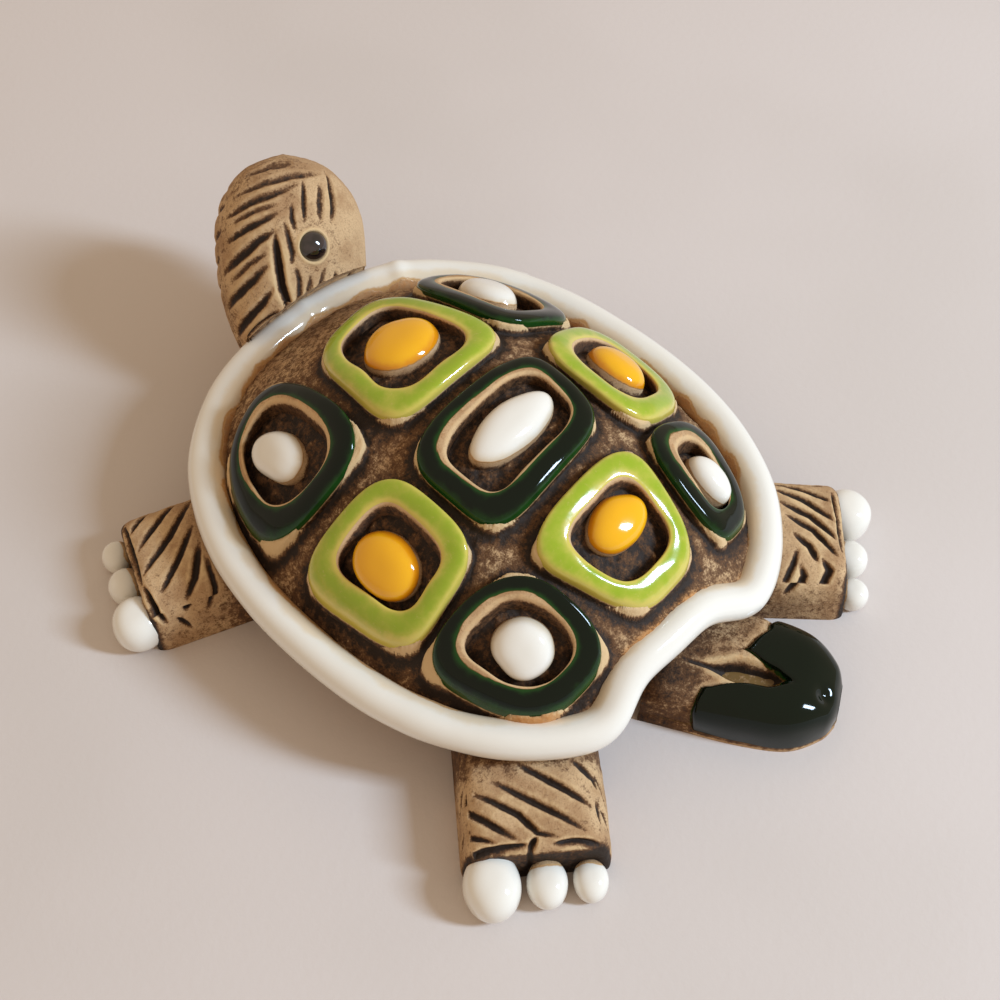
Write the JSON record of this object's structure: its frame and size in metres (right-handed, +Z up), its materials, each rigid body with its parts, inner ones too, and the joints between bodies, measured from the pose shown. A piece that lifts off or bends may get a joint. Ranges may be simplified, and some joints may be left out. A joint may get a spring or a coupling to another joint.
{
  "type": "turtle figurine",
  "caption": "Palm-size turtle figurine of carved clay with a domed shell of glazed green, yellow and white scutes.",
  "frame": {"origin": "on the floor plane, under the middle of the figure's outline", "axes": "-Y towards the head, +X the turtle's own left, +Z up, feet standing on Z = 0"},
  "size_m": [0.0612, 0.0788, 0.0245],
  "materials": {
    "bisque_clay": "matte",
    "white_glaze": "gloss",
    "dark_green_glaze": "gloss",
    "light_green_glaze": "gloss",
    "yellow_glaze": "gloss",
    "black_glaze": "gloss"
  },
  "bodies": {
    "root": {"carapace": "bisque_clay", "plastron": "bisque_clay", "rim": "white_glaze", "head": "bisque_clay", "eye_left": "black_glaze", "eye_right": "black_glaze", "tail": "bisque_clay", "tail_glaze": "dark_green_glaze", "scute_ring_front_left": "dark_green_glaze", "scute_button_front_left": "white_glaze", "scute_ring_front_middle": "light_green_glaze", "scute_button_front_middle": "yellow_glaze", "scute_ring_front_right": "dark_green_glaze", "scute_button_front_right": "white_glaze", "scute_ring_middle_left": "light_green_glaze", "scute_button_middle_left": "yellow_glaze", "scute_ring_middle_middle": "dark_green_glaze", "scute_button_middle_middle": "white_glaze", "scute_ring_middle_right": "light_green_glaze", "scute_button_middle_right": "yellow_glaze", "scute_ring_rear_left": "dark_green_glaze", "scute_button_rear_left": "white_glaze", "scute_ring_rear_middle": "light_green_glaze", "scute_button_rear_middle": "yellow_glaze", "scute_ring_rear_right": "dark_green_glaze", "scute_button_rear_right": "white_glaze", "leg_front_left": "bisque_clay", "toe_front_left_big": "white_glaze", "toe_front_left_middle": "white_glaze", "toe_front_left_small": "white_glaze", "leg_front_right": "bisque_clay", "toe_front_right_big": "white_glaze", "toe_front_right_middle": "white_glaze", "toe_front_right_small": "white_glaze", "leg_rear_left": "bisque_clay", "toe_rear_left_big": "white_glaze", "toe_rear_left_middle": "white_glaze", "toe_rear_left_small": "white_glaze", "leg_rear_right": "bisque_clay", "toe_rear_right_big": "white_glaze", "toe_rear_right_middle": "white_glaze", "toe_rear_right_small": "white_glaze"}
  },
  "joints": []
}
